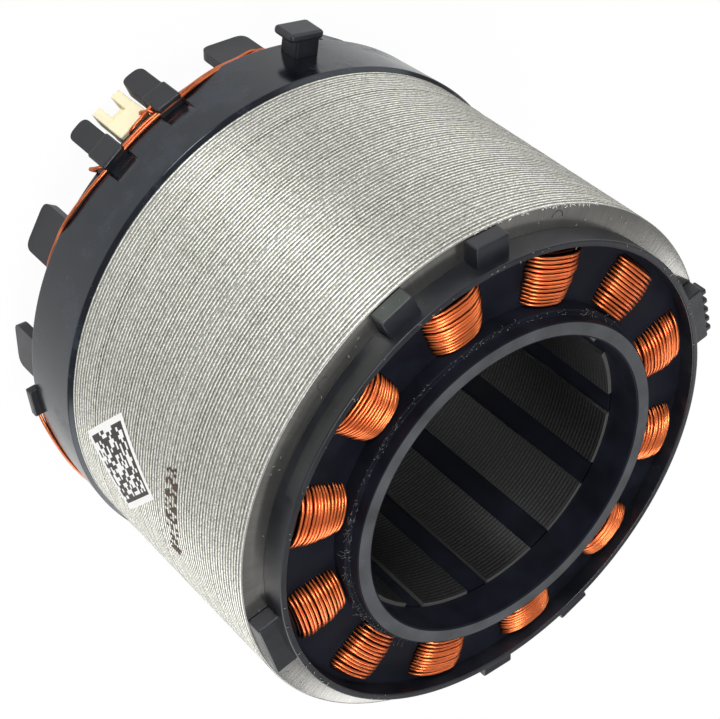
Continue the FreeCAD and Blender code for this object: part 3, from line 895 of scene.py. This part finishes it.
def crownLoops(r, half, top, slant, sway, count=13):
    # each turn runs up one side, over the crown and back: across = half cos^(2/n),
    # height = springs + (top - springs) sin^(2/n), and the same again at the rear end
    phase = np.linspace(0, np.pi, count)
    c, s = np.cos(phase), np.sin(phase)
    power = 2 / winding["blunt"]
    across = np.sign(c) * np.abs(c) ** power
    rise = np.abs(s) ** power
    y = half[:, None] * across
    z = winding["springs"] + (top - winding["springs"])[:, None] * rise
    x = r[:, None] + slant[:, None] * across + sway[:, None] * np.sin(2 * phase + 1.0)
    frontHalf = np.stack([x, y, z], -1)
    rearHalf = np.stack([x[:, ::-1], y[:, ::-1], stack["length"] - z[:, ::-1]], -1)
    return np.concatenate([frontHalf, rearHalf], 1)


def windLayer(layer, lean, rng):
    # the turns of one layer: with share from 0 at the bore to 1 outside, a turn's width and
    # crown follow sin(pi (0.9 share + 0.08)), and every turn strays a little by chance
    stray = winding["stray"]
    pitch = winding["pitch"] * (1 + winding["layerPitch"] * layer)
    start = winding["start"] + winding["layerStart"] * pitch * layer
    r = np.arange(start, winding["end"], pitch)
    count, under = len(r), winding["layerStep"] * layer
    r = r + rng.normal(0, stray["r"], count)
    share = (r - winding["start"]) / (winding["end"] - winding["start"])
    bulge = np.sin(np.pi * np.clip(share * 0.9 + 0.08, 0, 1))
    half = winding["half"] + winding["halfGrowth"] * share + winding["halfBulge"] * bulge
    half = half - under + rng.normal(0, stray["half"], count)
    top = winding["crown"] + winding["crownBulge"] * bulge
    top = top - under + rng.normal(0, stray["crown"], count)
    slant = lean + stray["slant"] * rng.normal(0, 1, count) * (layer == 0)
    sway = rng.normal(0, stray["sway"], count)
    loops = crownLoops(r, half, top, slant, sway, 11 if layer else 15)
    return tubes(loops, winding["wire"], 6 if layer else 8, closed=True, reference=(1, 0, 0))


def coilHeart():
    # one loop at each end of the coil, with a wall between the two and an end on each
    r = np.array([winding["start"] - winding["heartOver"], winding["end"] + winding["heartOver"]])
    half, crown = np.array(winding["heartHalf"]), np.array(winding["heartCrown"])
    fill = crownLoops(r, half, crown, np.zeros(2), np.zeros(2), 15)
    count = fill.shape[1]
    ring = np.arange(count)
    faces = [gridFaces(2, count, False, True), ring[None, :], ring[None, ::-1] + count]
    return fill.reshape(-1, 3), faces


def addCoil(index):
    # the outer layer shows; the layers under it, in copper darkened as painted shade, and a dark
    # heart of painted shade fill the gaps
    rng = np.random.default_rng(100 + index)
    angle = (index + 0.5) * 360 / stack["teeth"]
    lean = rng.normal(0, winding["lean"])
    layers = [windLayer(layer, lean, rng) for layer in range(winding["layers"])]
    number = "%02d" % (index + 1)
    addPiece("turns" + number, turnedBy(layers[0], angle), turnCopper,
             replaced=("coil_" + number,))
    addPiece("lowerTurns" + number, turnedBy(joined(layers[1:]), angle), innerCopper)
    addPiece("coilHeart" + number, turnedBy(coilHeart(), angle), darkCopper)


for index in range(stack["teeth"]):
    addCoil(index)
print("coils wound")

# Each route is a list of stops (angle, r, z). The first three wires come out beside a tab,
# lie on the band near its rear edge and pass through the feet of the guides; two of them
# go in again beside the next tab. The leads run to the connector, and the last wire lies
# further round, by the cleat.
routes = {
    "crossover1": [(-36.5, 30.6, -11.3), (-34, 31.5, -11.4), (-30, 31.4, -11.0), (-24, 32.2, -9.9),
                   (-16, 32.95, -8.6), (-10, 33.0, -8.1), (-4, 33.0, -8.1), (4, 33.0, -8.1),
                   (10, 33.0, -8.15), (14, 33.0, -8.4), (24, 32.9, -9.3), (29, 31.9, -10.5),
                   (34, 31.45, -11.0), (37, 30.8, -11.4)],
    "crossover2": [(-35.5, 30.7, -11.9), (-32, 31.5, -11.7), (-27, 31.7, -10.9), (-20, 32.6, -9.6),
                   (-13, 32.95, -8.8), (-8, 32.9, -8.55), (-2, 33.0, -8.55), (5, 33.0, -8.5),
                   (9.5, 33.0, -8.7), (11.3, 33.4, -9.2), (12.2, 33.3, -10.0), (11.6, 31.4, -10.6)],
    "crossover3": [(-33, 30.8, -10.4), (-28, 31.55, -10.5), (-22, 32.4, -9.4), (-15, 32.9, -8.9),
                   (-9, 32.85, -8.8), (-2, 32.7, -9.0)],
    "lead1": [(1.9, 31.6, -9.7), (1.6, 32.9, -9.3), (0.6, 33.35, -9.1), (-1.6, 33.4, -9.2),
              (-4.0, 33.4, -9.5), (-5.6, 33.4, -9.6)],
    "lead2": [(-2.4, 31.8, -10.6), (-2.6, 33.2, -10.2), (-3.2, 33.4, -9.6), (-4.0, 33.3, -9.2),
              (-4.6, 32.8, -9.0)],
    "crossover5": [(69.5, 32.6, -10.6), (72, 32.85, -9.8), (78, 32.86, -8.7), (86, 32.86, -8.2),
                   (94, 32.86, -8.4), (102, 32.85, -9.2), (110, 32.0, -10.3), (116, 30.7, -10.9)],
}
standsFor = {
    "crossover1": ("crossover_wire_1", "crossover_wire_3"),
    "crossover2": ("crossover_wire_2",),
    "crossover3": ("crossover_wire_4",),
    "crossover5": ("crossover_wire_5",),
}
laidWire = {"radius": 0.22, "sides": 8, "pointsPerStop": 14}

for name, stops in routes.items():
    line = roundAxis(curveThrough(stops, laidWire["pointsPerStop"] * len(stops)))
    addPiece(name, tubes(line, laidWire["radius"], laidWire["sides"]), copper,
             replaced=standsFor.get(name, ()))
print("wires laid")

connector = {
    # inner and outer radius, width, low and high of each block
    "body": (30.4, 33.0, 4.4, -12.9, -9.75),
    "rail": (30.6, 32.8, 1.3, -16.4, -12.5),
    "contact": (31.3, 32.3, 0.55, -16.44, -16.3),
    "web": (30.9, 32.0, 2.2, -14.6, -12.5),
    "railAside": 1.5,
}


def addConnector():
    # a cream body with two rails behind it; in each rail's tip a dark block, painted shade in place
    # of a contact hole
    addBlock("connectorBody", connector["body"], 0, cream, bevel=0.25,
             replaced=("connector_housing",))
    for name, side, contact in (("left", 1, "contact_1"), ("right", -1, "contact_2")):
        aside = side * connector["railAside"]
        addBlock(name + "Rail", connector["rail"], 0, cream, bevel=0.2,
                 aside=aside)
        addBlock(name + "Contact", connector["contact"], 0, darkHole,
                 replaced=(contact,), aside=aside)
    addBlock("connectorWeb", connector["web"], 0, cream, bevel=0.15)


addConnector()
print("connector made")

codePatch = {
    "angle": 60.1,
    "z": 10.2,
    "side": 10.2,
    "cell": 0.46,
    "border": 0.75,
    "lift": 0.06,
    "points": 31,
    "pale": (0.85, 0.85, 0.83, 1),
    "dark": (0.02, 0.014, 0.01, 1),
    "share": 0.5,     # of the cells that are dark
}


def codeMaterial():
    # frosted ground with dark square cells chosen at random, and two solid edges: a cell's
    # number is its coordinate over the cell's side, rounded down
    material, nodes, links, shader = newMaterial("code")
    inner, cell = codePatch["side"] / 2 - codePatch["border"], codePatch["cell"]
    awayFromZero = 30 * cell
    cells, solid, within = nodes.new("ShaderNodeCombineXYZ"), [], []
    for index, value in enumerate(planOf(nodes, links)):
        moved = sums(nodes, links, "ADD", value, awayFromZero + inner)
        number = sums(nodes, links, "FLOOR", sums(nodes, links, "DIVIDE", moved, cell), None)
        links.new(number, cells.inputs[index])
        solid.append(sums(nodes, links, "GREATER_THAN", value, inner - cell))
        size = sums(nodes, links, "ABSOLUTE", value, None)
        within.append(sums(nodes, links, "LESS_THAN", size, inner))
    chance = nodes.new("ShaderNodeTexWhiteNoise")
    chance.noise_dimensions = "2D"
    links.new(cells.outputs[0], chance.inputs["Vector"])
    dark = sums(nodes, links, "GREATER_THAN", chance.outputs["Value"], codePatch["share"])
    dark = sums(nodes, links, "MAXIMUM", dark, sums(nodes, links, "MAXIMUM", *solid))
    dark = sums(nodes, links, "MULTIPLY", dark, sums(nodes, links, "MULTIPLY", *within))
    mix = nodes.new("ShaderNodeMix")
    mix.data_type = "RGBA"
    mix.inputs[6].default_value = codePatch["pale"]
    mix.inputs[7].default_value = codePatch["dark"]
    links.new(dark, mix.inputs[0])
    links.new(mix.outputs[2], shader.inputs["Base Color"])
    shader.inputs["Roughness"].default_value = 0.6
    return material


def addCodePatch():
    # a square turned by 45 degrees on the stack's side: with a and b along its own edges,
    # the way round is (a - b) / sqrt 2 and the way along is (a + b) / sqrt 2
    half, count = codePatch["side"] / 2, codePatch["points"]
    steps = np.linspace(-half, half, count)
    a, b = np.meshgrid(steps, steps, indexing="ij")
    around, along = (a - b) / math.sqrt(2), (a + b) / math.sqrt(2)
    radius = stack["radius"] + codePatch["lift"]
    angle = np.radians(codePatch["angle"]) + around / stack["radius"]
    points = np.stack([radius * np.cos(angle), radius * np.sin(angle), codePatch["z"] + along], -1)
    plan = np.stack([a, b], -1).reshape(-1, 2)
    shape = points.reshape(-1, 3), [gridFaces(count, count)]
    addPiece("codePatch", shape, codeMaterial(), uv=plan)


etched = {
    "first": 48.2,    # angles of the row's two ends
    "last": 70.8,
    "z": 20.9,
    "height": 2.3,
    "count": 8,
    "columns": 3,
    "rows": 5,
    "width": 0.7,     # share of its pitch that a mark takes
    "burnt": 0.6,     # share of its cells that are burnt
    "lift": 0.05,
}


def addEtchedRow():
    # each mark is a small grid of cells, six in ten of them burnt brown by chance
    rng = np.random.default_rng(21)
    columns, rows = etched["columns"], etched["rows"]
    pitch = (etched["last"] - etched["first"]) / etched["count"]
    width, height = etched["width"] * pitch / columns, etched["height"] / rows
    radius, cells = stack["radius"] + etched["lift"], []
    for index in range(etched["count"]):
        for column, row in np.argwhere(rng.random((columns, rows)) < etched["burnt"]):
            first = etched["first"] + index * pitch + column * width
            low = etched["z"] - etched["height"] / 2 + row * height
            line = [(radius, low), (radius, low + height)]
            cells.append(turned(line, first, first + width, 3, closed=False))
    addPiece("etchedRow", joined(cells), burnt)


dimple = {"count": 6, "first": 15, "r": 31.2, "radius": 0.75, "thread": 0.05, "points": 12}


def addDimples():
    # the stamped half rings that lock the sheets together, on every other tooth: along the
    # radius r + radius sin a and across it radius cos a, for a from 0 to 180 degrees
    a = np.linspace(0, np.pi, dimple["points"])
    r, t = dimple["r"] + dimple["radius"] * np.sin(a), dimple["radius"] * np.cos(a)
    middle = np.radians(dimple["first"] + 360 / dimple["count"] * np.arange(dimple["count"]))
    c, s = np.cos(middle)[:, None], np.sin(middle)[:, None]
    top = np.full((dimple["count"], dimple["points"]), stack["length"] + stack["skin"])
    paths = np.stack([r * c - t * s, r * s + t * c, top], -1)
    # the half rings are thin dark threads, painted shade along the edge of each stamped recess
    addPiece("dimples", tubes(paths, dimple["thread"], 6), darkSteel)


dust = {
    # seed, count, angles, radii, heights over the stack, lengths
    "ledge": (5, 260, (-75, 165), (20.8, 21.75), (3.01, 3.05), (0.05, 0.4)),
    "wall": (6, 46, (-110, 120), (29.15, 29.75), (3.11, 3.14), (0.08, 0.35)),
    "lip": (7, 40, (-110, 120), (30.1, 31.9), (0.05, 0.08), (0.08, 0.4)),
    "fluff": (9, 70, (45, 112), (20.9, 21.8), (3.02, 3.3), (0.3, 1.2)),
    "burrGlints": (8, 44, (-56, -24), (32.4, 32.56), (0.005, 0.03), (0.1, 0.45)),
}
bow = {"turn": 0.5, "rise": 0.12}
threads = {"ledge": 0.011, "fluff": 0.018, "wall": 0.028, "burrGlints": 0.03}   # radii


def strewn(kind):
    # short bent fibres: each starts at a random place and runs off in a random direction
    # that turns on its way, while its middle rises by the sine of the way
    seed, count, angles, radii, heights, lengths = dust[kind]
    rng, top = np.random.default_rng(seed), stack["length"]
    start = roundAxis(np.stack([rng.uniform(*angles, count), rng.uniform(*radii, count),
                                rng.uniform(top + heights[0], top + heights[1], count)], 1))
    heading = rng.uniform(0, 2 * np.pi, (count, 1))
    turn = rng.normal(0, bow["turn"], (count, 1))
    length = rng.uniform(*lengths, (count, 1))
    steps = np.linspace(0, 1, 5)[None, :]
    direction = heading + turn * steps
    x = start[:, :1] + length * steps * np.cos(direction)
    y = start[:, 1:2] + length * steps * np.sin(direction)
    z = start[:, 2:] + bow["rise"] * np.sin(np.pi * steps) * rng.uniform(0, 1, (count, 1))
    return np.stack([x, y, z], -1)


def addDust():
    # fibres on the collar's ledge and the wall, and burrs at the stack's edge in near white steel,
    # painted glints
    onWall = np.concatenate([strewn("wall"), strewn("lip")])
    rows = (("ledgeFibres", "ledge", strewn("ledge"), fibre, "black_nylon"),
            ("ledgeFluff", "fluff", strewn("fluff"), darkFibre, "black_nylon"),
            ("wallDust", "wall", onWall, fibre, "black_nylon"),
            ("burrGlints", "burrGlints", strewn("burrGlints"), glintSteel, "electrical_steel"))
    for name, kind, paths, material, slotName in rows:
        addPiece(name, tubes(paths, threads[kind], 5), material)


addCodePatch()
addEtchedRow()
addDimples()
addDust()
print("marks and dust added")

floor = {"half": 3.0, "paper": 0.9, "rough": 0.8, "seen": 0.97, "mirrored": 0.55}
surroundings = {"light": 0.3, "seen": 0.98}
lampAim, lampDistance = Vector((0, 0, 0.01)), 0.6   # metres

lamps = {
    # azimuth and height in degrees, size in metres, power
    "keyLamp": (-11, 24, 0.2, 1.6),
    "farLamp": (126, 16, 0.65, 2.8),
    "lowLamp": (-80, 22, 0.5, 0.85),
    "topLamp": (40, 74, 0.22, 1.8),
    "faceLampLeft": (170, 27, 0.12, 0.09),
    "faceLampRight": (203, 27, 0.12, 0.13),
}


def layFloor():
    # a wide pale square under the part, white where the camera or a mirror sees it
    half, low = floor["half"], min(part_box(name)[0][2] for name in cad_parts)
    mesh = bpy.data.meshes.new("floor")
    mesh.from_pydata([(-half, -half, low), (half, -half, low), (half, half, low),
                      (-half, half, low)], [], [(0, 1, 2, 3)])
    paper = bpy.data.objects.new("floor", mesh)
    bpy.context.collection.objects.link(paper)
    material, nodes, links, shader = newMaterial("floorPaper")
    shader.inputs["Base Color"].default_value = (floor["paper"],) * 3 + (1,)
    shader.inputs["Roughness"].default_value = floor["rough"]
    glow = nodes.new("ShaderNodeEmission")
    glow.inputs["Color"].default_value = (1, 1, 1, 1)
    rays = nodes.new("ShaderNodeLightPath").outputs
    seen = sums(nodes, links, "MULTIPLY", rays["Is Camera Ray"], floor["seen"])
    mirrored = sums(nodes, links, "MULTIPLY", rays["Is Glossy Ray"], floor["mirrored"])
    mix = nodes.new("ShaderNodeMixShader")
    links.new(sums(nodes, links, "MAXIMUM", seen, mirrored), mix.inputs[0])
    links.new(shader.outputs[0], mix.inputs[1])
    links.new(glow.outputs[0], mix.inputs[2])
    links.new(mix.outputs[0], nodes["Material Output"].inputs["Surface"])
    mesh.materials.append(material)


def lightWorld():
    # a soft even light on the part, and near white where the camera looks past it
    world = bpy.data.worlds.new("world")
    bpy.context.scene.world = world
    world.use_nodes = True
    nodes, links = world.node_tree.nodes, world.node_tree.links
    back = nodes["Background"]
    back.inputs["Color"].default_value = (1, 1, 1, 1)
    seen = nodes.new("ShaderNodeLightPath").outputs["Is Camera Ray"]
    bright = spread(nodes, links, seen, 0, 1, surroundings["light"], surroundings["seen"])
    links.new(bright, back.inputs["Strength"])


def hangLamps():
    # each lamp at x = d cos a cos b, y = d sin a cos b, z = d sin b, turned to the part
    for name, (azimuth, height, size, power) in lamps.items():
        data = bpy.data.lights.new(name, "AREA")
        data.shape = "DISK"
        data.size = size
        data.energy = power
        lamp = bpy.data.objects.new(name, data)
        bpy.context.collection.objects.link(lamp)
        a, b = math.radians(azimuth), math.radians(height)
        way = Vector((math.cos(a) * math.cos(b), math.sin(a) * math.cos(b), math.sin(b)))
        lamp.location = way * lampDistance
        line = lampAim - way * lampDistance
        lamp.rotation_euler = line.to_track_quat("-Z", "Y").to_euler()


layFloor()
lightWorld()
hangLamps()
bpy.context.scene.view_settings.view_transform = "Standard"
print("stage ready")
